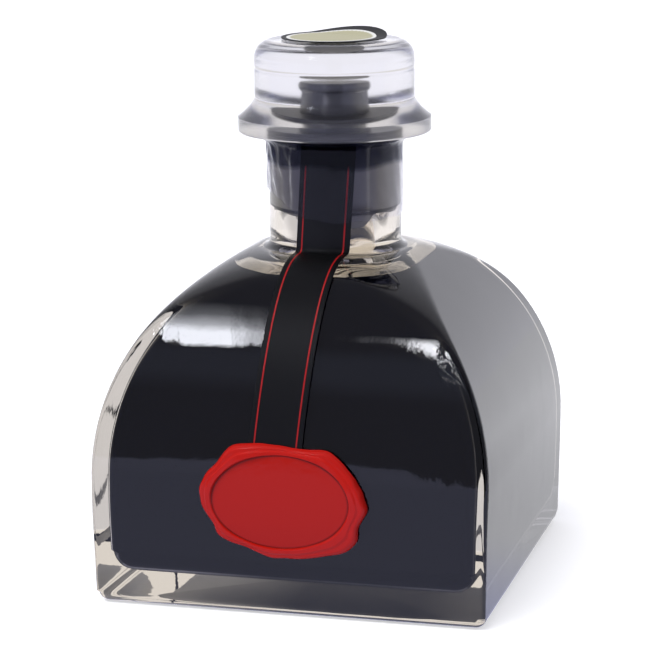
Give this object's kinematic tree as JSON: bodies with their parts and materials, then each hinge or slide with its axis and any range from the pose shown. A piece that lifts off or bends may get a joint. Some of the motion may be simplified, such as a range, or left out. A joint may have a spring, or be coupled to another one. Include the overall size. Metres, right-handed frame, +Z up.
{
  "type": "vinegar bottle",
  "caption": "Square clear glass bottle with a domed shoulder, full of dark vinegar, shut by a clear-headed stopper, with a ribbon strip down its front and a red wax seal.",
  "frame": {"origin": "centre of the bottle's flat underside, on the neck's axis", "axes": "+Z up along the neck, -Y out of the face that carries the strip and the wax seal, +X to the right of that face"},
  "size_m": [0.082, 0.0847, 0.1132],
  "materials": {
    "clear_glass": "smooth moulded clear glass, thick walled",
    "dark_vinegar": "opaque brown-black liquid",
    "clear_plastic": "polished clear acrylic",
    "black_stopper": "satin black polymer",
    "label_paper": "coated black paper with a pale round field",
    "strip_paper": "gloss black paper with a thin red line along each edge",
    "red_wax": "glossy sealing wax",
    "clear_film": "thin wrinkled clear shrink film"
  },
  "bodies": {
    "root": {"glass_bottle": "clear_glass", "vinegar": "dark_vinegar", "stopper_head": "clear_plastic", "stopper_plug": "black_stopper", "top_label": "label_paper", "ribbon_strip": "strip_paper", "wax_seal": "red_wax", "neck_film": "clear_film"}
  },
  "joints": []
}
